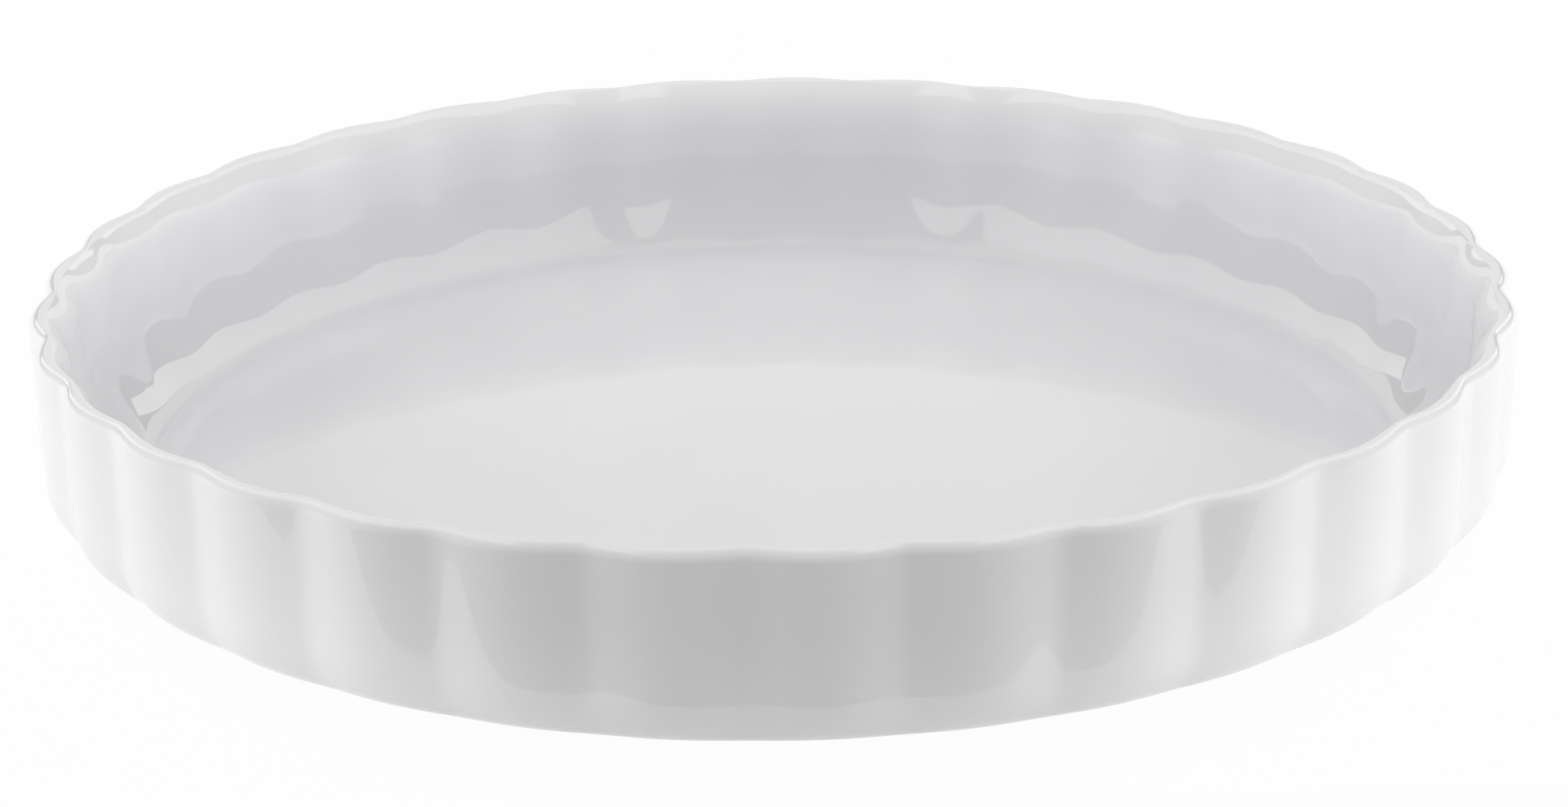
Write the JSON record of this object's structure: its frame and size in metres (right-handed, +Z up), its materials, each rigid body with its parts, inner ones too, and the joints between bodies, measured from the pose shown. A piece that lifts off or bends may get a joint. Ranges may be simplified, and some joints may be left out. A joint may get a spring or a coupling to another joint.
{
  "type": "fluted baking dish",
  "caption": "Round shallow porcelain baking dish with a fluted wall, rounded lip, flat floor and bare foot ring, for tarts and quiches.",
  "frame": {"origin": "on the axis of the dish, in the plane that its foot ring stands on", "axes": "+Z up, out of the open side of the dish; +X through the crest of a flute"},
  "size_m": [0.2794, 0.2796, 0.039],
  "materials": {
    "fired_clay": "unglazed fired porcelain, matt and slightly rough",
    "white_glaze": "smooth glossy white glaze"
  },
  "bodies": {
    "root": {"clay_body": "fired_clay", "glaze_coat": "white_glaze", "underside_glaze": "white_glaze"}
  },
  "joints": []
}
